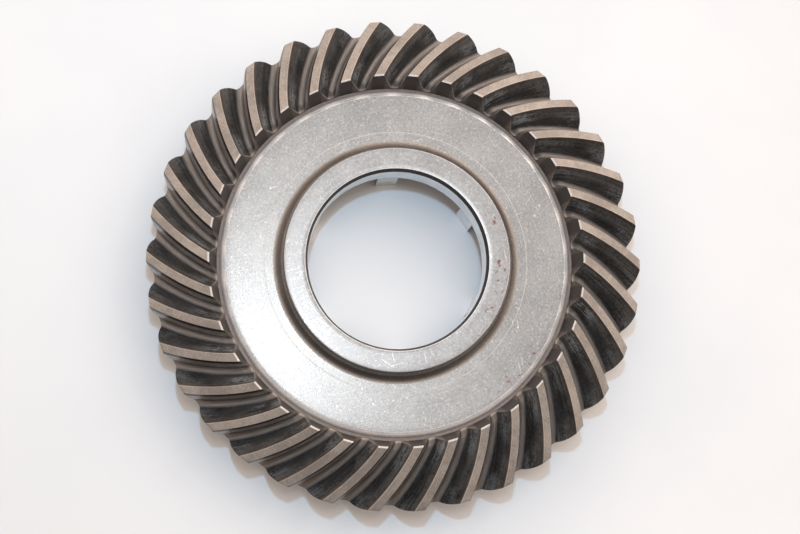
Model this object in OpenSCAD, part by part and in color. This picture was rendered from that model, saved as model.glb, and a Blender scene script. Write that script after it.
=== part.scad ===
// Spiral bevel crown wheel: a toothed rim shrunk on a hub disc that turns on a dog-locked bush.
// The back face lies on z = 0, the axis is +Z, and the first dog of the bush points along +X.

/* [Blank] */
// Height of the boss face above the back face
boss_h = 54; // [52:0.5:58]
// Height of the web face above the back face
web_h = 43.2; // [42.5:0.1:45]
// Radius of the boss face
boss_r = 88.3; // [85:0.1:92]
// Radius of the hollow fillet at the foot of the boss
boss_fillet = 8.5; // [3:0.5:9]
// Edge break round the boss face
boss_edge = 0.6; // [0.2:0.1:1.5]
// Radius of the seat between the hub disc and the toothed rim
seat_r = 138; // [136.5:0.1:139]
// Rounding of the web's outer edge
web_round = 4; // [2:0.5:5]
// Inner and outer radius of the relief ring turned in the back of the web
back_relief_r = [94, 126]; // [90:1:130]
// Depth of the relief ring in the back of the web
back_relief_depth = 8; // [2:1:16]

/* [Teeth] */
// Number of teeth
teeth = 34; // [30:1:36]
// Radius and height of the tooth tops at the toe
toe_tip = [145.7, 60.1]; // [0:0.1:200]
// Radius and height of the tooth tops at the heel
heel_tip = [194.2, 45.7]; // [0:0.1:200]
// Radius and height of the tooth roots at the toe
toe_root = [141.8, 44.8]; // [0:0.1:200]
// Radius and height of the tooth roots at the heel
heel_root = [189.2, 24.2]; // [0:0.1:200]
// Width of the tooth tops, measured round the wheel
land_w = 7.8; // [6:0.1:9]
// Normal pressure angle of the flanks
pressure_angle = 20; // [18:0.5:22.5]
// Outward bulge of each flank at half depth
flank_bulge = 0.35; // [0:0.05:0.6]
// Share of each root strip's half width that its fillet takes
fillet_share = 0.5; // [0.3:0.05:0.7]
// Angle that a tooth sweeps back from toe to heel, clockwise as seen from the front
sweep = 11.57; // [8:0.1:14]
// Angle of the first tooth's toe, counted from the first dog
tooth_phase = -1.65; // [-5:0.01:5]
// Angle by which the root lies clockwise of the tooth tops, at the toe and at the heel
root_skew = [0.2, 1.05]; // [0:0.05:1.2]
// Outward bow of the tooth ends at the heel, at half depth
heel_crown = 1; // [0:0.1:1.2]

/* [Rim body] */
// Radius and height of the foot of the toe cone
toe_foot = [140.3, 39]; // [0:0.1:200]
// Radius and height at which the back cone ends
heel_foot = [187, 14]; // [0:0.1:200]
// Outer radius of the back face
back_r = 180; // [170:0.5:186]

/* [Bore] */
// Radius of the smooth bore of the bush
bore_r = 70; // [69:0.1:70.5]
// Radius of the lip's mouth in the boss face
lip_r = 71.8; // [71:0.1:73]
// Depth of the lip above the bush
lip_h = 4.8; // [3:0.1:6]
// Length of the smooth band of the bush
band_h = 21.2; // [15:0.1:28]
// Height of the relief groove between the band and the dogs
groove_h = 1.2; // [0.6:0.1:2]
// Depth of that relief groove
groove_depth = 0.6; // [0.3:0.1:1.2]
// Outer radius of the bush
bush_r = 78; // [76:0.1:80]
// Number of dogs under the band
dogs = 6; // [4:1:8]
// Width of a dog
dog_w = 16.4; // [12:0.1:20]
// Radial running clearance between the bush and the hub disc
running_gap = 0.05; // [0.02:0.01:0.1]
// End clearance between the bush and the lip
end_gap = 0.15; // [0.1:0.05:0.5]

/* [Hidden] */

black_skin = "#3d3937";
ground_steel = "#bdb8b3";
bright_steel = "#c9ccd0";

// Facets of a turned surface, and a margin for clean cuts.
round_fn = 180;
cut = 1;

// Sections of a tooth from toe to heel, and the height of each profile station from root to tip.
sections = 7;
station_u = [0, 0, 0.16, 0.6, 1, 1, 0.6, 0.16, 0];
stations = len(station_u);
last_left = 4;

pitch_angle_step = 360 / teeth;
bush_top = boss_h - lip_h;
band_bottom = bush_top - band_h;
dog_top = band_bottom - groove_h;
counterbore_r = bush_r + running_gap;
mouth_chamfer = 1;
lip_clearance = 0.2;

// A point on a tooth at length share t (0 toe, 1 heel) and height share u (0 root, 1 tip).
function mix(a, b, t) = a + (b - a) * t;
function tooth_point(t, u) = mix(mix(toe_root, heel_root, t), mix(toe_tip, heel_tip, t), u);
function tooth_depth(t) = norm(tooth_point(t, 1) - tooth_point(t, 0));

// Flank slope round the wheel: the normal pressure angle seen across a tooth that leans by the spiral.
face_run = heel_tip[0] - toe_tip[0];
function spiral_angle(t) = atan(tooth_point(t, 1)[0] * sweep * PI / 180 / face_run);
function flank_slope(t) = tan(pressure_angle) / cos(spiral_angle(t));

// Half widths of a tooth and of its pitch, measured round the wheel.
function half_tooth(t, u) = land_w / 2 + (1 - u) * tooth_depth(t) * flank_slope(t)
    + 4 * flank_bulge * u * (1 - u);
function half_pitch(t) = tooth_point(t, 0)[0] * PI / teeth;
function fillet_foot(t) = mix(half_tooth(t, 0), half_pitch(t), fillet_share);

// Signed distance of profile station c from the tooth's middle line.
function station_x(t, c) =
    c == 0 ? -half_pitch(t) :
    c == 1 ? -fillet_foot(t) :
    c == stations - 1 ? fillet_foot(t) :
    c <= last_left ? -half_tooth(t, station_u[c]) : half_tooth(t, station_u[c]);

function station_angle(t, c) = station_x(t, c) / tooth_point(t, station_u[c])[0] * 180 / PI;

function at_angle(p, a) = [p[0] * cos(a), p[0] * sin(a), p[1]];

// Angle of profile station c of tooth i: the tooth sweeps back clockwise and its root is skewed.
function wheel_angle(i, t, c) = tooth_phase + i * pitch_angle_step - sweep * t
    - mix(root_skew[0], root_skew[1], t) * (1 - station_u[c]) + station_angle(t, c);

// Length share of station c: the last section bows outwards along the tooth.
function bowed(t, c) = t < 1 ? t : 1 + 4 * heel_crown / face_run * station_u[c] * (1 - station_u[c]);

// One closed row of points round the wheel on the toothed surface, and one on the plain body.
function tooth_row(t) = [for (i = [0 : teeth - 1]) for (c = [0 : stations - 1])
    let (s = bowed(t, c)) at_angle(tooth_point(s, station_u[c]), wheel_angle(i, s, c))];
function plain_row(p, t) = [for (i = [0 : teeth - 1]) for (c = [0 : stations - 1])
    at_angle(p, wheel_angle(i, t, c))];

module toothed_rim() {
    columns = teeth * stations;
    // The seat polygon lies round the seat circle, so that the rim never bites into the hub disc.
    // Its longest side spans one tooth top.
    rim_seat_r = seat_r / cos(station_angle(0, last_left));
    rows = concat(
        [plain_row([rim_seat_r, web_h - web_round], 0), plain_row(toe_foot, 0)],
        [for (k = [0 : sections - 1]) tooth_row(k / (sections - 1))],
        [plain_row(heel_foot, 1), plain_row([back_r, 0], 1), plain_row([rim_seat_r, 0], 0)]);
    faces = [for (i = [0 : len(rows) - 1]) for (j = [0 : columns - 1])
        let (a = i * columns + j,
             b = i * columns + (j + 1) % columns,
             next = (i + 1) % len(rows) * columns,
             c = next + (j + 1) % columns,
             d = next + j)
        each [[a, b, c], [a, c, d]]];
    color(black_skin) polyhedron(points = [for (row = rows) each row], faces = faces, convexity = 10);
}

// Half section of the hub disc, with the round boss foot and the round edge of the web.
module hub_section() {
    difference() {
        union() {
            translate([bore_r, 0]) square([seat_r - bore_r, web_h]);
            translate([bore_r, 0]) square([boss_r - bore_r, boss_h]);
            translate([boss_r, web_h]) difference() {
                translate([-cut, -cut]) square(boss_fillet + cut);
                translate([boss_fillet, boss_fillet]) circle(r = boss_fillet, $fn = round_fn);
            }
        }
        translate([seat_r - web_round, web_h - web_round]) difference() {
            square(web_round + cut);
            circle(r = web_round, $fn = round_fn);
        }
        polygon([[boss_r - boss_edge, boss_h], [boss_r + cut, boss_h + cut], [boss_r, boss_h - boss_edge]]);
        translate([back_relief_r[0], 0]) relief_section();
    }
}

// Section of the relief ring in the back, with sloped walls.
module relief_section() {
    width = back_relief_r[1] - back_relief_r[0];
    polygon([[0, -cut], [width, -cut], [width, 0], [width - back_relief_depth / 2, back_relief_depth],
             [back_relief_depth / 2, back_relief_depth], [0, 0]]);
}

module hub_disc() {
    counterbore_h = bush_top + end_gap;
    color(ground_steel) difference() {
        rotate_extrude($fn = round_fn) hub_section();
        translate([0, 0, -cut]) cylinder(r = counterbore_r, h = counterbore_h + cut, $fn = round_fn);
        translate([0, 0, -cut])
            cylinder(r1 = counterbore_r + mouth_chamfer + cut, r2 = counterbore_r,
                     h = mouth_chamfer + cut, $fn = round_fn);
        translate([0, 0, counterbore_h])
            cylinder(r1 = bore_r + lip_clearance, r2 = lip_r, h = boss_h - counterbore_h, $fn = round_fn);
        translate([0, 0, counterbore_h - cut])
            cylinder(r = bore_r + lip_clearance, h = boss_h, $fn = round_fn);
    }
}

module bush_tube(inner_r, bottom, top) {
    translate([0, 0, bottom]) difference() {
        cylinder(r = bush_r, h = top - bottom, $fn = round_fn);
        translate([0, 0, -cut]) cylinder(r = inner_r, h = top - bottom + 2 * cut, $fn = round_fn);
    }
}

module bore_bush() {
    color(bright_steel) union() {
        bush_tube(bore_r, band_bottom, bush_top);
        intersection() {
            union() {
                bush_tube(bore_r + groove_depth, dog_top, band_bottom);
                bush_tube(bore_r, 0, dog_top);
            }
            for (i = [0 : dogs - 1])
                rotate([0, 0, i * 360 / dogs]) translate([bore_r / 2, -dog_w / 2, 0]) cube([bush_r, dog_w, bush_top]);
        }
    }
}

toothed_rim();
hub_disc();
bore_bush();
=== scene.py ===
"""Looks of the crown wheel: its toothed rim, its turned hub disc and its ground bush."""
import math

import bpy
import numpy as np
from mathutils import Matrix, Vector


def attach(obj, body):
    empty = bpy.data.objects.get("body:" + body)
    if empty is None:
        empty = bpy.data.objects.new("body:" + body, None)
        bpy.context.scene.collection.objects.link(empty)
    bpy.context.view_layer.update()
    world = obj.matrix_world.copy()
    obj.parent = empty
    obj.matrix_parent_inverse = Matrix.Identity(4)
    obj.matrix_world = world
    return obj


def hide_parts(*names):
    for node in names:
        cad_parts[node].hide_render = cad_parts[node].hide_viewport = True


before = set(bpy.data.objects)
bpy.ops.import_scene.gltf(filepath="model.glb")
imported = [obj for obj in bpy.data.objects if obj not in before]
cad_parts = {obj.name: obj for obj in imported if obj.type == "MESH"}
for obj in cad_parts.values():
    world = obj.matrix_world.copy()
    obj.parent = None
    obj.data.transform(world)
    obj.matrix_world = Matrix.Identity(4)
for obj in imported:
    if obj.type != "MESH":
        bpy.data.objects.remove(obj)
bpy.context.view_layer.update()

MM = 0.001
TAU = 2 * math.pi

# The wheel, in millimetres and radians. Each point is a radius and a height above the back face.
TEETH = 34
TOE_TIP, HEEL_TIP = (145.7, 60.1), (194.2, 45.7)
TOE_ROOT, HEEL_ROOT = (141.8, 44.8), (189.2, 24.2)
TOE_FOOT, HEEL_FOOT = (140.3, 39.0), (187.0, 14.0)
BACK_CONE, BACK_R = (184.0, 3.0), 180.0
LAND_W = 7.8
PRESSURE_ANGLE = math.radians(20)
FLANK_BULGE = 0.35
SWEEP = math.radians(11.57)
TOOTH_PHASE = math.radians(-1.65)
ROOT_SKEW_TOE, ROOT_SKEW_HEEL = math.radians(0.2), math.radians(1.05)
HEEL_CROWN = 1.0
SEAT_R = 138.0
BOSS_H, WEB_H = 54.0, 43.2
BOSS_R, BOSS_FILLET = 88.3, 8.5
RELIEF_INNER_R, RELIEF_OUTER_R, RELIEF_DEPTH = 94.0, 126.0, 8.0
COUNTERBORE_R, COUNTERBORE_H = 78.05, 49.35
LIP_BOTTOM_R, LIP_TOP_R = 70.05, 71.9
BAND_BOTTOM_H = 28.0

# Camera: seen from the toothed side, a little off the axis.
CAMERA_TILT = math.radians(10.805)
CAMERA_AZIMUTH = math.radians(-155.3)
CAMERA_ROLL_REFERENCE = math.radians(55.7)
CAMERA_DISTANCE = 1.1686
CAMERA_LENS, CAMERA_SENSOR = 67.65, 36
CAMERA_SHIFT = (0.00254, -0.0104)
CAMERA_NEAR = 0.05

# The "sweep" coordinate runs along and across a tooth. Each tooth has its own strip of it, this far
# from the next one's, so its marks differ from tooth to tooth.
STRIDE_ALONG, STRIDE_ACROSS = 100.0, 50.0


def lerp(a, b, t):
    return a + (b - a) * t


# ---------------------------------------------------------------- node helpers
class Tree:
    """A short way to write a node tree."""

    def __init__(self, tree):
        self.tree = tree

    def new(self, kind, **settings):
        node = self.tree.nodes.new(kind)
        for key, value in settings.items():
            setattr(node, key, value)
        return node

    def put(self, socket, value):
        if isinstance(value, bpy.types.NodeSocket):
            self.tree.links.new(value, socket)
        elif value is not None:
            socket.default_value = value

    def fill(self, node, values):
        """Sets a node's first inputs, in order."""
        for socket, value in zip(node.inputs, values):
            self.put(socket, value)
        return node

    def math(self, operation, a, b=None, c=None):
        return self.fill(self.new("ShaderNodeMath", operation=operation), (a, b, c)).outputs[0]

    def add(self, a, b):
        return self.math("ADD", a, b)

    def mul(self, a, b):
        return self.math("MULTIPLY", a, b)

    def blend(self, *parts):
        """Weighted sum of (value, weight) pairs."""
        total = None
        for value, weight in reversed(parts):
            term = self.mul(value, weight)
            total = term if total is None else self.add(term, total)
        return total

    def strongest(self, values):
        result = values[0]
        for value in values[1:]:
            result = self.math("MAXIMUM", result, value)
        return result

    def ramp(self, value, low, high, out_low=0.0, out_high=1.0, smooth=True):
        """Maps low..high to out_low..out_high, held at both ends."""
        node = self.new("ShaderNodeMapRange", interpolation_type="SMOOTHSTEP" if smooth else "LINEAR")
        return self.fill(node, (value, low, high, out_low, out_high)).outputs[0]

    def band(self, value, rise_start, rise_end, fall_start, fall_end):
        """One between rise_end and fall_start, and nothing outside the other two."""
        return self.mul(self.ramp(value, rise_start, rise_end),
                        self.ramp(value, fall_start, fall_end, 1.0, 0.0))

    def mix(self, factor, a, b):
        """Colour a where the factor is 0 and colour b where it is 1."""
        node = self.new("ShaderNodeMix", data_type="RGBA")
        for socket, value in ((node.inputs["Factor"], factor), (node.inputs[6], a), (node.inputs[7], b)):
            self.put(socket, value)
        return node.outputs[2]

    def vector(self, x, y, z):
        return self.fill(self.new("ShaderNodeCombineXYZ"), (x, y, z)).outputs[0]

    def split(self, vector):
        return self.fill(self.new("ShaderNodeSeparateXYZ"), (vector,)).outputs


class Surface(Tree):
    """The node tree of a new material, with the surface point's place at hand."""

    def __init__(self, name):
        self.material = bpy.data.materials.new(name)
        self.material.use_nodes = True
        super().__init__(self.material.node_tree)
        self.bsdf = self.tree.nodes["Principled BSDF"]
        self.position = self.new("ShaderNodeTexCoord").outputs["Object"]
        self.x, self.y, self.z = self.split(self.position)

    def polar(self):
        """Radius, and the unit direction round the axis, of the surface point."""
        radius = self.math("SQRT", self.add(self.mul(self.x, self.x), self.mul(self.y, self.y)))
        return radius, self.math("DIVIDE", self.x, radius), self.math("DIVIDE", self.y, radius)

    def uv(self, name):
        return self.split(self.new("ShaderNodeUVMap", uv_map=name).outputs[0])[:2]

    def tooth_offset(self, across):
        """Distance from the middle of the tooth, positive anticlockwise, from the "sweep" coordinate."""
        return self.math("WRAP", across, STRIDE_ACROSS * MM / 2, -STRIDE_ACROSS * MM / 2)

    def towards(self, x, y, angle):
        """How far (x, y) lies in the direction of the angle."""
        return self.add(self.mul(x, math.cos(angle)), self.mul(y, math.sin(angle)))

    def aligned(self, angle):
        """Place along and across a direction in the plane of the wheel."""
        across = self.add(self.mul(self.x, -math.sin(angle)), self.mul(self.y, math.cos(angle)))
        return self.towards(self.x, self.y, angle), across

    def noise(self, vector, scale=1.0, detail=3.0, roughness=0.55, seed=0.0):
        node = self.new("ShaderNodeTexNoise", noise_dimensions="4D")
        self.put(node.inputs["Vector"], vector)
        for key, value in (("W", seed), ("Scale", scale), ("Detail", detail), ("Roughness", roughness)):
            node.inputs[key].default_value = value
        return node.outputs["Fac"]

    def speckle(self, scale, seed, detail=2.0, roughness=0.55):
        """Noise without a direction."""
        return self.noise(self.position, scale, detail, roughness, seed)

    def streaks(self, along, across, along_scale, across_scale, detail, seed):
        """Noise drawn out along one direction."""
        place = self.vector(self.mul(along, along_scale), self.mul(across, across_scale), 0.0)
        return self.noise(place, detail=detail, seed=seed)

    def turning(self, c, s, around, across, density, seed):
        """Noise drawn out round the axis, like the marks of a lathe tool."""
        place = self.vector(self.mul(c, around), self.mul(s, around), self.mul(across, density))
        return self.noise(place, detail=2.0, seed=seed)

    def bump(self, height, strength, distance):
        node = self.new("ShaderNodeBump")
        node.inputs["Strength"].default_value = strength
        node.inputs["Distance"].default_value = distance
        self.put(node.inputs["Height"], height)
        self.put(self.bsdf.inputs["Normal"], node.outputs[0])

    def finish(self, color, roughness, metallic):
        self.put(self.bsdf.inputs["Base Color"], color)
        self.put(self.bsdf.inputs["Roughness"], roughness)
        self.bsdf.inputs["Metallic"].default_value = metallic
        return self.material


def srgb(r, g, b):
    """A colour given as 0-255 screen values, in the shader's linear values."""
    def linear(v):
        v /= 255
        return v / 12.92 if v <= 0.04045 else ((v + 0.055) / 1.055) ** 2.4
    return (linear(r), linear(g), linear(b), 1.0)


def scaled(color, r, g, b):
    """A colour with each channel multiplied, held at full."""
    return (*(min(1.0, channel * factor) for channel, factor in zip(color, (r, g, b))), 1.0)


# ---------------------------------------------------------------- materials
NICK_WHITE = srgb(236, 240, 244)
SCRIBED_GREY = srgb(222, 220, 217)
RUST_BROWN = srgb(122, 62, 50)
SHADE_BROWN = srgb(62, 53, 49)

SCRIBED_R = 103.5
SCRIBED_CORE, SCRIBED_FADE = 0.14, 0.34
SCRATCH_ANGLES = (0.35, 1.2, 1.95, 2.8)
SCRATCH_THRESHOLD, SCRATCH_FADE = 0.683, 0.06
# Rusted places: direction and half spread in radians, inner and outer radius in millimetres.
BOSS_RUST = [(-0.42, 0.5, 74, 90), (-0.78, 0.5, 77, 89)]
WEB_RUST = [(-1.15, 0.6, 122, 139)]
RUST_FADE = 3
# Rings of painted shade, darker where the surface falls into a fillet or valley: radii where they start, are
# full, begin to fade and end, then their strength.
FOOT_SHADE = (89.6, 91.4, 93.0, 97.0, 1.0)
ROLLED_EDGE_SHADE = (135.4, 138.0, 150.0, 160.0, 0.4)
# The place where the cutter left each tooth gap: half width, outer radius and reach inwards.
RUN_OUT_HALF_WIDTH, RUN_OUT_R, RUN_OUT_REACH = 8.4, 142.6, 5.6
BAND_BLUR = 0.6
# Side of the floor that gets painted shade, towards the room's dark side.
FLOOR_SHADED_SIDE = math.radians(190)


def nick_marks(n, nicks):
    """Fine scratches in a few directions, in patches, and small chips."""
    layers = []
    for k, angle in enumerate(SCRATCH_ANGLES):
        along, across = n.aligned(angle)
        lines = n.streaks(along, across, 34.0, 760.0, 1.0, 10.0 + k)
        layers.append(n.ramp(lines, SCRATCH_THRESHOLD, SCRATCH_THRESHOLD + SCRATCH_FADE))
    patch = n.ramp(n.speckle(30.0, 5.0), 0.52, 0.64)
    chips = n.ramp(n.speckle(210.0, 6.0), 0.66, 0.71)
    scratched = n.mul(n.strongest(layers), patch)
    chipped = n.mul(chips, n.ramp(patch, 0.0, 1.0, 0.25, 1.0))
    return n.mul(n.math("MAXIMUM", scratched, chipped), nicks)


def add_rust(n, color, radius, c, s, places):
    for angle, spread, inner, outer in places:
        facing = n.ramp(n.towards(c, s, angle), math.cos(spread), math.cos(spread * 0.6))
        ring = n.band(radius, inner * MM, (inner + RUST_FADE) * MM, (outer - RUST_FADE) * MM, outer * MM)
        zone = n.mul(facing, ring)
        spots = n.speckle(230.0, 8.0 + spread, detail=4.0, roughness=0.6)
        spots = n.ramp(n.add(spots, n.mul(zone, 0.08)), 0.655, 0.73)
        color = n.mix(n.mul(n.mul(spots, zone), 0.7), color, RUST_BROWN)
    return color


def web_steel(name, tone, tone_low, rough, rings=2600.0, nicks=1.0, scribe=None, rust=(), shade_ring=None,
              metallic=0.85):
    """Turned and handled steel: fine rings and grain, dull blotches, white nicks, a scribed line, rust, and
    any ring of painted shade.
    """
    n = Surface(name)
    radius, c, s = n.polar()
    ring = n.turning(c, s, 1.3, radius, rings, 1.0)
    blotch = n.speckle(38.0, 2.0, detail=5.0, roughness=0.62)
    cloud = n.speckle(11.0, 3.0)
    grain = n.speckle(620.0, 4.0, roughness=0.7)
    marks = nick_marks(n, nicks)
    mixture = n.blend((ring, 0.2), (blotch, 0.3), (cloud, 0.15), (grain, 0.35))
    color = n.mix(n.ramp(mixture, 0.38, 0.62), tone_low, tone)
    color = n.mix(n.ramp(grain, 0.30, 0.42, 0.2, 0.0), color, scaled(tone_low, 0.55, 0.54, 0.53))
    color = n.mix(n.ramp(grain, 0.56, 0.70, 0.0, 0.5), color, scaled(tone, 1.6, 1.6, 1.6))
    color = n.mix(n.mul(marks, 0.8), color, NICK_WHITE)
    line = 0.0
    if scribe:
        off = n.math("ABSOLUTE", n.add(radius, -scribe * MM))
        wear = n.ramp(n.speckle(24.0, 7.0), 0.30, 0.5, 0.35, 1.0)
        line = n.mul(n.ramp(off, SCRIBED_CORE * MM, SCRIBED_FADE * MM, 1.0, 0.0), wear)
        color = n.mix(n.mul(line, 0.6), color, SCRIBED_GREY)
    color = add_rust(n, color, radius, c, s, rust)
    # Painted shade: a brown ring darkens the surface where it falls into the fillet at the boss or the valley
    # inside the toes.
    if shade_ring:
        *edges, strength = shade_ring
        dark = n.band(radius, *(edge_r * MM for edge_r in edges))
        uneven = n.ramp(cloud, 0.3, 0.6, 0.55 * strength, 0.8 * strength)
        color = n.mix(n.mul(dark, uneven), color, SHADE_BROWN)
    dull = n.ramp(mixture, 0.35, 0.65, *rough, smooth=False)
    n.bump(n.blend((ring, 0.4), (grain, 0.5), (marks, 0.4)), 0.16, 0.0002)
    return n.finish(color, n.add(n.add(dull, n.mul(marks, -0.1)), n.mul(line, 0.25)), metallic)


def bright_bore_steel(name, tone, shade_below=None):
    """Ground steel, ringed round the axis; below the given height it gets painted shade, a little darker
    towards the floor.
    """
    n = Surface(name)
    _, c, s = n.polar()
    rings = n.turning(c, s, 2.0, n.z, 1500.0, 21.0)
    blotch = n.speckle(60.0, 22.0, detail=4.0)
    value = n.blend((rings, 0.5), (blotch, 0.5))
    color = n.mix(n.ramp(value, 0.35, 0.65), scaled(tone, 0.8, 0.8, 0.8), tone)
    # Painted shade on the dogs near the floor: their colour is mixed a little towards grey.
    if shade_below:
        dull = n.ramp(n.z, (shade_below - BAND_BLUR) * MM, shade_below * MM, 0.2, 0.0)
        color = n.mix(dull, color, srgb(150, 150, 152))
    n.bump(rings, 0.08, 0.0002)
    return n.finish(color, n.ramp(value, 0.3, 0.7, 0.24, 0.38, smooth=False), 0.9)


def black_skin(name, tone, tone_low, gloss=0.38, run_out=False):
    """The dark skin that hardening leaves; run_out adds the paler place where the cutter left each gap."""
    n = Surface(name)
    radius, c, s = n.polar()
    cloud = n.speckle(40.0, 31.0, detail=5.0, roughness=0.6)
    grain = n.speckle(700.0, 32.0)
    turned = n.turning(c, s, 1.5, n.add(radius, n.z), 900.0, 34.0)
    value = n.blend((cloud, 0.4), (grain, 0.25), (turned, 0.35))
    color = n.mix(n.ramp(value, 0.38, 0.64), tone_low, tone)
    rough = n.ramp(cloud, 0.3, 0.7, gloss - 0.06, gloss + 0.1, smooth=False)
    if run_out:
        # Distance from the gap's middle, as a share of the run-out's half width and reach.
        offset = n.math("ABSOLUTE", n.tooth_offset(n.uv("sweep")[1]))
        off = n.add(TOE_ROOT[0] * math.pi / TEETH * MM, n.mul(offset, -1.0))
        off = n.mul(off, 1 / (RUN_OUT_HALF_WIDTH * MM))
        inward = n.mul(n.add(RUN_OUT_R * MM, n.mul(radius, -1.0)), 1 / (RUN_OUT_REACH * MM))
        place = n.math("SQRT", n.add(n.mul(off, off), n.mul(inward, inward)))
        place = n.add(place, n.mul(n.add(cloud, -0.5), 0.12))
        rings = n.noise(n.vector(0.0, 0.0, n.mul(radius, 1500.0)), detail=2.0, seed=33.0)
        paler = n.mix(n.ramp(rings, 0.35, 0.65), srgb(124, 113, 106), srgb(148, 136, 128))
        color = n.mix(n.ramp(place, 0.7, 1.02, 0.45, 0.0), color, paler)
        rim_line = n.ramp(n.math("ABSOLUTE", n.add(place, -0.92)), 0.0, 0.1, 0.22, 0.0)
        color = n.mix(n.mul(rim_line, n.ramp(inward, 0.1, 0.5)), color, srgb(186, 172, 162))
        rough = n.add(rough, n.ramp(place, 0.84, 1.0, 0.1, 0.0))
    n.bump(n.blend((grain, 0.5), (turned, 0.5)), 0.18, 0.0003)
    return n.finish(color, rough, 0.35)


def flank_skin(name):
    """Tooth flank and root: dark and glossy, streaked along the tooth, scuffed near both ends.

    The "profile" coordinate is the length share from the toe, and the share of the tooth's height:
    negative on the wide flank, positive on the steep one, 0 in the root.
    """
    n = Surface(name)
    along, across = n.uv("sweep")
    length, height = n.uv("profile")
    streak = n.streaks(along, across, 20.0, 1100.0, 3.0, 41.0)
    fine = n.streaks(along, across, 55.0, 3000.0, 2.0, 42.0)
    cloud = n.speckle(60.0, 43.0, detail=4.0, roughness=0.65)
    grain = n.speckle(480.0, 45.0, roughness=0.7)
    depth = n.math("ABSOLUTE", height)
    root = n.ramp(depth, 0.02, 0.1, 1.0, 0.0)
    value = n.blend((streak, 0.25), (fine, 0.2), (cloud, 0.3), (grain, 0.25))
    shade = n.ramp(value, 0.39, 0.61)
    dark = n.mix(shade, srgb(50, 49, 48), srgb(112, 110, 108))
    # The steep flank takes the lighter mix, a painted reflection of the bright floor in it.
    pale = n.mix(shade, srgb(104, 101, 100), srgb(200, 195, 192))
    color = n.mix(n.ramp(height, 0.06, 0.22), dark, pale)
    root_color = n.mix(n.ramp(fine, 0.35, 0.65), srgb(114, 108, 103), srgb(164, 154, 147))
    color = n.mix(n.mul(root, 0.8), color, root_color)
    # Oxide tints: brown under the wide flank's edge, a dark red line under the steep flank's edge.
    color = n.mix(n.ramp(height, -0.98, -0.78, 0.5, 0.0), color, srgb(86, 72, 60))
    color = n.mix(n.ramp(height, 0.66, 0.8, 0.0, 0.95), color, srgb(44, 29, 27))
    # The lower part of the wide flank is painted darker, a painted shade towards the root, and both its ends
    # are scuffed.
    flank_shade = n.band(height, -0.65, -0.42, -0.14, -0.04)
    color = n.mix(n.mul(flank_shade, 0.4), color, srgb(38, 36, 35))
    worn = n.ramp(n.speckle(16.0, 44.0, detail=1.0), 0.36, 0.6, 0.4, 1.25)
    scuff = n.mul(n.ramp(value, 0.46, 0.56), worn)
    toe_end = n.mul(n.band(length, 0.0, 0.07, 0.2, 0.45), n.band(height, -0.92, -0.75, -0.42, -0.2))
    heel_end = n.mul(n.ramp(length, 0.72, 0.86), n.band(height, -0.7, -0.5, -0.22, -0.1))
    color = n.mix(n.mul(n.blend((toe_end, 0.9), (heel_end, 0.5)), scuff), color, srgb(150, 153, 155))
    # The slot's edge where the cutter left it at the toe is rubbed bright.
    rubbed = n.mul(n.ramp(length, 0.006, 0.018, 1.0, 0.0), n.ramp(depth, 0.6, 0.85, 1.0, 0.25))
    color = n.mix(n.mul(rubbed, 0.6), color, srgb(176, 166, 158))
    # Inside that edge the run-out of the slot is dull and dark.
    inside = n.mul(n.band(length, 0.018, 0.03, 0.05, 0.11), n.ramp(depth, 0.25, 0.5, 0.55, 0.0))
    color = n.mix(inside, color, srgb(62, 59, 57))
    gloss = n.ramp(cloud, 0.3, 0.7, 0.28, 0.42, smooth=False)
    n.bump(n.blend((streak, 0.3), (fine, 0.3), (grain, 0.4)), 0.15, 0.00025)
    return n.finish(color, n.add(gloss, n.mul(n.math("MAXIMUM", root, rubbed), 0.12)), 0.5)


def land_steel(name, tone, tone_low):
    """Ground tooth top: brown satin, fine cross-hatch, and a light line on the wide flank's side, partly
    rubbed bright and partly a painted highlight of the edge.
    """
    n = Surface(name)
    layers = []
    for k, angle in enumerate((0.6, 2.0)):
        along, across = n.aligned(angle)
        layers.append(n.streaks(along, across, 150.0, 1700.0, 2.0, 51.0 + k))
    hatch = n.strongest(layers)
    cloud = n.speckle(45.0, 53.0, detail=4.0)
    value = n.blend((hatch, 0.6), (cloud, 0.4))
    color = n.mix(n.ramp(value, 0.44, 0.62), tone_low, tone)
    # Light line just inside the edge: partly rubbed steel, partly a painted highlight of the edge.
    rubbed = n.ramp(n.tooth_offset(n.uv("sweep")[1]), -3.8 * MM, -3.0 * MM, 0.6, 0.0)
    color = n.mix(n.mul(rubbed, n.ramp(cloud, 0.35, 0.55, 0.5, 1.0)), color, srgb(240, 230, 220))
    n.bump(hatch, 0.14, 0.0002)
    return n.finish(color, n.ramp(value, 0.4, 0.7, 0.38, 0.5, smooth=False), 0.5)


def floor_paint(name):
    """Plain pale paint, a little darker towards one side with painted shade."""
    n = Surface(name)
    cloud = n.speckle(5.0, 61.0, detail=5.0)
    color = n.mix(n.ramp(cloud, 0.35, 0.65), srgb(228, 230, 232), srgb(233, 234, 235))
    # Painted shade: the paint darkens towards that side.
    aside = n.towards(n.x, n.y, FLOOR_SHADED_SIDE)
    color = n.mix(n.ramp(aside, 0.05, 0.45, 0.0, 0.5), color, srgb(205, 207, 210))
    n.bump(n.speckle(120.0, 62.0, detail=3.0), 0.05, 0.0005)
    return n.finish(color, 0.5, 0.0)


# ---------------------------------------------------------------- mesh helpers
LATHE_SEGMENTS = 384
HUB_SHARP_ANGLE, RIM_SHARP_ANGLE = 35.0, 28.0


def link(name, data):
    """A new object in the scene."""
    obj = bpy.data.objects.new(name, data)
    bpy.context.scene.collection.objects.link(obj)
    return obj


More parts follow.
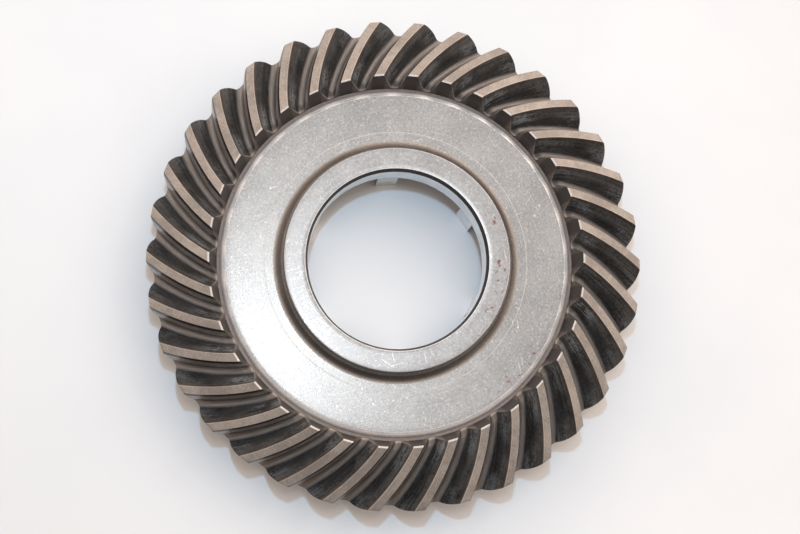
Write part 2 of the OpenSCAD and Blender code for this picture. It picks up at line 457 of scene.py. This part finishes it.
def mesh_object(name, vertices, faces, face_materials, materials, sharp):
    """A smooth mesh, with hard edges where it bends by more than the sharp angle."""
    mesh = bpy.data.meshes.new(name)
    mesh.from_pydata([tuple(v) for v in vertices], [], faces)
    for material in materials:
        mesh.materials.append(material)
    mesh.polygons.foreach_set("material_index", np.asarray(face_materials, dtype=np.int32))
    mesh.polygons.foreach_set("use_smooth", np.ones(len(mesh.polygons), dtype=bool))
    mesh.set_sharp_from_angle(angle=math.radians(sharp))
    mesh.validate()
    return link(name, mesh)


def ring_faces(rings, segments):
    """Quads of a closed tube: rings of vertices, the last joined to the first."""
    faces = []
    for i in range(rings):
        j = (i + 1) % rings
        for k in range(segments):
            m = (k + 1) % segments
            faces.append((i * segments + k, j * segments + k, j * segments + m, i * segments + m))
    return faces


def arc(center, radius, start, end, count):
    """Points on an arc of a section, angles in degrees."""
    angles = np.radians(np.linspace(start, end, count))
    return [(center[0] + radius * math.cos(a), center[1] + radius * math.sin(a)) for a in angles]


def lathe(name, section, materials):
    """Turns a closed section, a list of ((radius, height), material) in mm, about the axis."""
    points = np.array([point for point, _ in section]) * MM
    angles = np.arange(LATHE_SEGMENTS) * TAU / LATHE_SEGMENTS
    x = np.outer(points[:, 0], np.cos(angles))
    y = np.outer(points[:, 0], np.sin(angles))
    z = np.repeat(points[:, 1:2], LATHE_SEGMENTS, axis=1)
    vertices = np.stack([x, y, z], axis=-1).reshape(-1, 3)
    slots = np.repeat([slot for _, slot in section], LATHE_SEGMENTS)
    faces = ring_faces(len(section), LATHE_SEGMENTS)
    return mesh_object(name, vertices, faces, slots, materials, HUB_SHARP_ANGLE)


# ---------------------------------------------------------------- toothed rim
# Wanted radius of the root fillet, and the share it may take of the largest that fits the gap.
FILLET_R, FILLET_FIT = 4.2, 0.98
EDGE_BREAK, EDGE_BREAK_RUN = 0.35, 0.21
WEB_ROLL_RUN, WEB_ROLL_DROP = 5.0, 4.4
TOE_BEVEL_RUN, TOE_BEVEL_DROP = 1.1, 0.6
TOE_LIP_RUN, TOE_LIP_DROP, TOE_LIP_REACH = 6.0, 4.0, 1.5
TOE_LIP_HALF_WIDTH = 8.6
HEEL_ROUND, HEEL_ROUND_DROP = 1.2, 0.72
FACE_RUN = HEEL_TIP[0] - TOE_TIP[0]
FACE_SLOPE = (HEEL_TIP[1] - TOE_TIP[1]) / FACE_RUN

# Points along a tooth's section and rows along its length. Toe rows crowd towards the end.
FILLET_POINTS, FLANK_POINTS = 8, 9
TOE_ROWS, MIDDLE_ROWS, HEEL_ROWS = 13, 34, 5
TOE_CROWDING = 1.4

# The rim's material slots.
FLANK, LAND, EDGE, BEVEL, SKIN, TOE, VALLEY = range(7)


def tooth_frame(t):
    """Root point, tip point, depth, slope of a flank and half pitch at length share t."""
    root = np.array([lerp(TOE_ROOT[k], HEEL_ROOT[k], t) for k in (0, 1)])
    tip = np.array([lerp(TOE_TIP[k], HEEL_TIP[k], t) for k in (0, 1)])
    depth = float(np.linalg.norm(tip - root))
    spiral = math.atan(tip[0] * SWEEP / FACE_RUN)
    slope = math.tan(PRESSURE_ANGLE) / math.cos(spiral)
    return root, tip, depth, slope, root[0] * math.pi / TEETH


def half_profile(depth, slope, half_pitch):
    """Points (offset from the tooth's middle, height) from the gap's middle up to the land's middle."""
    flank_angle = math.atan(slope)
    gap = half_pitch - (LAND_W / 2 + depth * slope)
    corner = (math.pi / 2 + flank_angle) / 2
    fillet = min(FILLET_R, gap * FILLET_FIT * math.tan(corner))
    flat = gap - fillet / math.tan(corner)
    points = [(half_pitch, 0.0), (half_pitch - flat * 0.5, 0.0)]
    for turn in np.linspace(0, math.pi / 2 - flank_angle, FILLET_POINTS):
        points.append((half_pitch - flat - fillet * math.sin(turn), fillet * (1 - math.cos(turn))))
    start = points[-1][1]
    for share in np.linspace(0, 1, FLANK_POINTS)[1:]:
        h = lerp(start, depth - EDGE_BREAK, share)
        bulge = 4 * FLANK_BULGE * share * (1 - share)
        points.append((LAND_W / 2 + (depth - h) * slope + bulge, h))
    points.append((LAND_W / 2 - EDGE_BREAK_RUN, depth))
    points.append((LAND_W / 4, depth))
    return np.array(points)


def rim_rows():
    """Length shares of the rows along a tooth, closer together at both ends."""
    toe = np.linspace(0, 1, TOE_ROWS) ** TOE_CROWDING * TOE_LIP_RUN / FACE_RUN
    heel = 1 - np.linspace(HEEL_ROUND * 2, 0, HEEL_ROWS) / FACE_RUN
    middle = np.linspace(toe[-1], heel[0], MIDDLE_ROWS)
    return np.concatenate([toe[:-1], middle, heel[1:]])


def tooth_ring(t):
    """One pitch of the toothed surface: angle, radius, height, and the two texture coordinates."""
    root, tip, depth, slope, half_pitch = tooth_frame(t)
    profile = half_profile(depth, slope, half_pitch)
    x = np.concatenate([-profile[:, 0], profile[::-1][:-1, 0]])
    h = np.concatenate([profile[:, 1], profile[::-1][:-1, 1]])
    side = np.where(np.arange(len(x)) < len(profile), -1.0, 1.0)
    run = t * FACE_RUN
    left = FACE_RUN - run
    top = depth
    if run < TOE_BEVEL_RUN:
        top -= TOE_BEVEL_DROP * (1 - run / TOE_BEVEL_RUN)
    if left < HEEL_ROUND:
        top -= HEEL_ROUND_DROP * (1 - left / HEEL_ROUND) ** 2
    u = np.minimum(h, top) / depth
    # The heel end bows outwards along the tooth, and the root lies clockwise of the tooth top.
    ahead = t * (1 + 4 * HEEL_CROWN / FACE_RUN * u * (1 - u))
    slide = (ahead - t) * FACE_RUN
    radius = lerp(root[0], tip[0], u) + slide
    height = lerp(root[1], tip[1], u) + slide * FACE_SLOPE
    # At the toe the slot runs out over a rounded lip.
    if run < TOE_LIP_RUN:
        from_middle = np.clip((half_pitch - np.abs(x)) / TOE_LIP_HALF_WIDTH, 0, 1)
        droop = (1 - run / TOE_LIP_RUN) ** 2 * (1 - from_middle ** 4)
        height = height - TOE_LIP_DROP * droop
        radius = radius - TOE_LIP_REACH * droop
    skew = lerp(ROOT_SKEW_TOE, ROOT_SKEW_HEEL, ahead) * (1 - u)
    angle = x / lerp(root[0], tip[0], u) - SWEEP * ahead - skew
    sweep_uv = np.stack([np.full(len(x), run), x], axis=1)
    profile_uv = np.stack([np.full(len(x), t), side * u], axis=1)
    return angle, radius, height, sweep_uv, profile_uv


def rim_slots(ring_count, rows, columns):
    """Material slot of every face of the rim, ring by ring."""
    per_half = (columns + 1) // 2
    # Only the wide flank, on the clockwise side, meets the land in a bright edge.
    kinds = [FLANK] * (per_half - 3) + [EDGE] + [LAND] * 3 + [FLANK] * (per_half - 2)
    first, last = 2, 1 + len(rows)
    bevel_last = first + int(np.searchsorted(rows, TOE_BEVEL_RUN / FACE_RUN))
    slots = []
    for i in range(ring_count):
        if i == 0:
            ring = [VALLEY] * columns
        elif i < first:
            ring = [TOE] * columns
        elif i < bevel_last:
            ring = [BEVEL if kind in (LAND, EDGE) else kind for kind in kinds]
        elif i < last:
            ring = kinds
        else:
            ring = [SKIN] * columns
        slots.extend(ring * TEETH)
    return slots


def build_rim(materials):
    rows = rim_rows()
    # Each ring is a length share and, off the toothed surface, a point that all its vertices take.
    rings = [(0.0, (SEAT_R, WEB_H - WEB_ROLL_DROP)), (0.0, TOE_FOOT)]
    rings += [(t, None) for t in rows]
    rings += [(1.0, HEEL_FOOT), (1.0, BACK_CONE), (1.0, (BACK_R, 0.0)), (0.0, (SEAT_R, 0.0))]
    points, sweep_uv, profile_uv = [], [], []
    for t, place in rings:
        angle, radius, height, sweep, profile = tooth_ring(t)
        if place:
            radius, height = (np.full(len(angle), value) for value in place)
        for tooth in range(TEETH):
            a = TOOTH_PHASE + tooth * TAU / TEETH + angle
            points.append(np.stack([radius * np.cos(a), radius * np.sin(a), height], axis=1))
            sweep_uv.append((sweep + np.array([STRIDE_ALONG, STRIDE_ACROSS]) * tooth) * MM)
            profile_uv.append(profile)
    columns = len(angle)
    slots = rim_slots(len(rings), rows, columns)
    faces = ring_faces(len(rings), TEETH * columns)
    vertices = np.concatenate(points) * MM
    rim = mesh_object("toothed_crown", vertices, faces, slots, materials, RIM_SHARP_ANGLE)
    mesh = rim.data
    loops = np.empty(len(mesh.loops), dtype=np.int32)
    mesh.loops.foreach_get("vertex_index", loops)
    for name, values in (("sweep", np.concatenate(sweep_uv)), ("profile", np.concatenate(profile_uv))):
        layer = mesh.uv_layers.new(name=name)
        layer.data.foreach_set("uv", values[loops].astype(np.float32).ravel())
    return rim


# ---------------------------------------------------------------- hub disc
# The hub's material slots.
WEB, BOSS, LIP, HUB_BACK, FOOT, ROUND, BURNISH_GLINT = range(7)

BOSS_EDGE = 0.6
LIP_EDGE_RUN, LIP_EDGE_DROP = 0.15, 0.4
LIP_BREAK_RUN, LIP_BREAK_DROP = 0.55, 0.15
BACK_CHAMFER, MOUTH_CHAMFER = 0.5, 1.0
BOSS_ROWS, BOSS_EDGE_ROWS, FILLET_ROWS, WEB_ROWS, ROLL_ROWS = 6, 4, 14, 8, 16
ROLL_FLAT, ROLL_STEEP = math.radians(86), math.radians(28)
# Rows at the start of the roll that take the lighter edge steel, partly a painted highlight of the edge.
BURNISH_GLINT_ROWS = 4


def web_roll():
    """The web rolls off into the valley inside the toes, on an ellipse that ends at a steep slope."""
    points = []
    for a in np.linspace(ROLL_FLAT, ROLL_STEEP, ROLL_ROWS):
        out = 1 - math.cos(a) / math.cos(ROLL_STEEP)
        down = (1 - math.sin(a)) / (1 - math.sin(ROLL_STEEP))
        points.append((SEAT_R - WEB_ROLL_RUN * out, WEB_H - WEB_ROLL_DROP * down))
    return points


def build_hub(materials):
    section = []

    def run(points, slot):
        section.extend((p, slot) for p in points)

    run([(LIP_BOTTOM_R, COUNTERBORE_H), (LIP_TOP_R - LIP_EDGE_RUN, BOSS_H - LIP_EDGE_DROP)], LIP)
    run([(LIP_TOP_R, BOSS_H - LIP_BREAK_DROP)], BURNISH_GLINT)
    run([(r, BOSS_H) for r in np.linspace(LIP_TOP_R + LIP_BREAK_RUN, BOSS_R - BOSS_EDGE, BOSS_ROWS)], BOSS)
    run(arc((BOSS_R - BOSS_EDGE, BOSS_H - BOSS_EDGE), BOSS_EDGE, 75, 0, BOSS_EDGE_ROWS), BURNISH_GLINT)
    run(arc((BOSS_R + BOSS_FILLET, WEB_H + BOSS_FILLET), BOSS_FILLET, 180, 268, FILLET_ROWS), FOOT)
    run([(r, WEB_H) for r in np.linspace(BOSS_R + BOSS_FILLET, SEAT_R - WEB_ROLL_RUN, WEB_ROWS)], WEB)
    rolled = web_roll()
    run(rolled[:BURNISH_GLINT_ROWS], BURNISH_GLINT)
    run(rolled[BURNISH_GLINT_ROWS:], ROUND)
    run([(SEAT_R, BACK_CHAMFER), (SEAT_R - BACK_CHAMFER, 0.0)], HUB_BACK)
    slant = RELIEF_DEPTH / 2
    run([(RELIEF_OUTER_R, 0.0), (RELIEF_OUTER_R - slant, RELIEF_DEPTH),
         (RELIEF_INNER_R + slant, RELIEF_DEPTH), (RELIEF_INNER_R, 0.0)], HUB_BACK)
    run([(COUNTERBORE_R + MOUTH_CHAMFER, 0.0), (COUNTERBORE_R, MOUTH_CHAMFER),
         (COUNTERBORE_R, COUNTERBORE_H)], HUB_BACK)
    return lathe("turned_hub", section, materials)


# ---------------------------------------------------------------- camera, light, floor
# Each light stands almost overhead: its lean along the picture's right and up per unit of height.
KEY_LEAN, KEY_HEIGHT, KEY_SIZE, KEY_POWER = (-0.08, 0.135), 1.36, 0.06, 6.1
KEY_COLOR = (0.38, 0.70, 1.0)
PANEL_LEAN, PANEL_HEIGHT, PANEL_SIZE, PANEL_POWER = (-0.038, 0.061), 2.1, 0.28, 2.7
PANEL_COLOR = (1.0, 1.0, 1.0)
SKY_ZENITH = (1.04, 0.90, 0.80, 1)
SKY_HORIZON = (1.46, 1.24, 1.08, 1)
DARK_SIDE, BRIGHT_SIDE = 0.18, 1.15
BRIGHT_SIDE_ANGLE = math.radians(76)
WINDOW_ANGLE, WINDOW_ELEVATION = math.radians(48), math.radians(47)
WINDOW_STRENGTH = 1.3
FLOOR_HALF_SIZE, FLOOR_LEVEL = 12.0, -0.05 * MM


def add_camera():
    """Places the camera and returns the picture's right and up directions."""
    target = Vector((0, 0, BOSS_H * MM))
    away = Vector((math.sin(CAMERA_TILT) * math.cos(CAMERA_AZIMUTH),
                   math.sin(CAMERA_TILT) * math.sin(CAMERA_AZIMUTH), math.cos(CAMERA_TILT)))
    up_hint = Vector((math.cos(CAMERA_ROLL_REFERENCE), math.sin(CAMERA_ROLL_REFERENCE), 0))
    right = (-away).cross(up_hint).normalized()
    up = right.cross(-away)
    data = bpy.data.cameras.new("camera")
    data.lens = CAMERA_LENS
    data.sensor_width = CAMERA_SENSOR
    data.shift_x, data.shift_y = CAMERA_SHIFT
    data.clip_start = CAMERA_NEAR
    camera = link("camera", data)
    rotation = Matrix((right, up, away)).transposed().to_4x4()
    camera.matrix_world = Matrix.Translation(target + away * CAMERA_DISTANCE) @ rotation
    bpy.context.scene.camera = camera
    return right, up


def add_area(name, position, size, power, color):
    """A round lamp at a position, a Vector, that faces the origin."""
    data = bpy.data.lights.new(name, "AREA")
    data.shape = "DISK"
    data.size = size
    data.energy = power
    data.color = color
    light = link(name, data)
    light.location = position
    light.rotation_euler = position.to_track_quat("Z", "Y").to_euler()
    return light


def add_world(bright_side, window):
    """Warm light of a plain room, brighter on one side than on the other, with one small window."""
    scene = bpy.context.scene
    scene.view_settings.view_transform = "Standard"
    world = bpy.data.worlds.new("studio")
    scene.world = world
    world.use_nodes = True
    n = Tree(world.node_tree)
    direction = n.new("ShaderNodeTexCoord").outputs["Generated"]

    def towards(place):
        node = n.new("ShaderNodeVectorMath", operation="DOT_PRODUCT")
        return n.fill(node, (direction, place)).outputs["Value"]

    upward = n.ramp(n.split(direction)[2], 0.45, 0.85)
    room = n.ramp(towards(bright_side), -0.68, 0.25, DARK_SIDE, BRIGHT_SIDE)
    pane = n.ramp(towards(window), 0.925, 0.985, 0.0, WINDOW_STRENGTH)
    background = n.tree.nodes["Background"]
    n.put(background.inputs["Color"], n.mix(upward, SKY_HORIZON, SKY_ZENITH))
    n.put(background.inputs["Strength"], n.add(room, pane))


def add_light(right, up):
    flat_right = Vector((right.x, right.y, 0)).normalized()
    flat_up = Vector((up.x, up.y, 0)).normalized()
    overhead = Vector((0, 0, 1))

    def level(angle):
        return flat_right * math.cos(angle) + flat_up * math.sin(angle)

    window = level(WINDOW_ANGLE) * math.cos(WINDOW_ELEVATION) + overhead * math.sin(WINDOW_ELEVATION)
    add_world(level(BRIGHT_SIDE_ANGLE), window)
    for name, lean, height, size, power, color in (
            ("key", KEY_LEAN, KEY_HEIGHT, KEY_SIZE, KEY_POWER, KEY_COLOR),
            ("panel", PANEL_LEAN, PANEL_HEIGHT, PANEL_SIZE, PANEL_POWER, PANEL_COLOR)):
        place = (flat_right * lean[0] + flat_up * lean[1] + overhead) * height
        light = add_area(name, place, size, power, color)
        # Of the two lamps, only the panel is mirrored in the steel.
        light.visible_glossy = name == "panel"


def add_floor():
    mesh = bpy.data.meshes.new("floor")
    corners = ((-1, -1), (1, -1), (1, 1), (-1, 1))
    vertices = [(x * FLOOR_HALF_SIZE, y * FLOOR_HALF_SIZE, FLOOR_LEVEL) for x, y in corners]
    mesh.from_pydata(vertices, [], [(0, 1, 2, 3)])
    mesh.materials.append(floor_paint("floor_paint"))
    floor = link("floor", mesh)


# ---------------------------------------------------------------- assembly
right, up = add_camera()
add_light(right, up)
add_floor()

skin = black_skin("hardened_skin", srgb(106, 98, 93), srgb(86, 79, 75))
toe = black_skin("toe_skin", srgb(82, 75, 72), srgb(60, 55, 52), gloss=0.5, run_out=True)
valley = black_skin("worn_valley", srgb(150, 141, 136), srgb(119, 111, 107), gloss=0.5, run_out=True)
lands = land_steel("ground_land", srgb(170, 160, 151), srgb(137, 129, 122))
edge = bright_bore_steel("bright_edge", srgb(158, 148, 140))
bevel = web_steel("toe_bevel", srgb(206, 200, 197), srgb(184, 178, 175), (0.36, 0.46), nicks=0.3,
                  metallic=0.6)
rim = build_rim([flank_skin("flank_skin"), lands, edge, bevel, skin, toe, valley])
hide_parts("toothed_rim")
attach(rim, "wheel")

web = web_steel("turned_web", srgb(170, 175, 179), srgb(147, 151, 155), (0.24, 0.31), scribe=SCRIBED_R,
                rust=WEB_RUST)
boss = web_steel("ground_boss", srgb(171, 176, 181), srgb(149, 154, 159), (0.25, 0.32), rings=1500.0,
                 rust=BOSS_RUST)
# The mouth chamfer is painted near black, a painted reflection of the dark room that it mirrors.
lip = black_skin("dark_lip", srgb(42, 38, 37), srgb(28, 25, 25))
# The foot fillet gets a ring of painted shade next to the boss.
foot = web_steel("turned_foot", srgb(180, 176, 172), srgb(154, 150, 146), (0.40, 0.47), nicks=0.3,
                 shade_ring=FOOT_SHADE)
# The rolled edge gets painted shade where it falls into the valley.
rolled_edge = web_steel("rolled_edge", srgb(228, 217, 208), srgb(208, 197, 188), (0.55, 0.65), nicks=0.4,
                        metallic=0.0, shade_ring=ROLLED_EDGE_SHADE)
# Lighter steel on the bore mouth's edge, the boss edge and the start of the roll: burnished, and painted
# lighter as a highlight of their edge glints.
burnish_glint = web_steel("burnished_edge_glint", srgb(228, 228, 228), srgb(204, 204, 204), (0.30, 0.38), nicks=0.5,
                    metallic=0.5)
hub = build_hub([web, boss, lip, skin, foot, rolled_edge, burnish_glint])
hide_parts("hub_disc")
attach(hub, "wheel")

bush = bpy.data.objects["bore_bush"]
bush.data.materials.clear()
# The dogs below the band get painted shade.
bush.data.materials.append(bright_bore_steel("ground_bush", srgb(252, 252, 252), shade_below=BAND_BOTTOM_H))
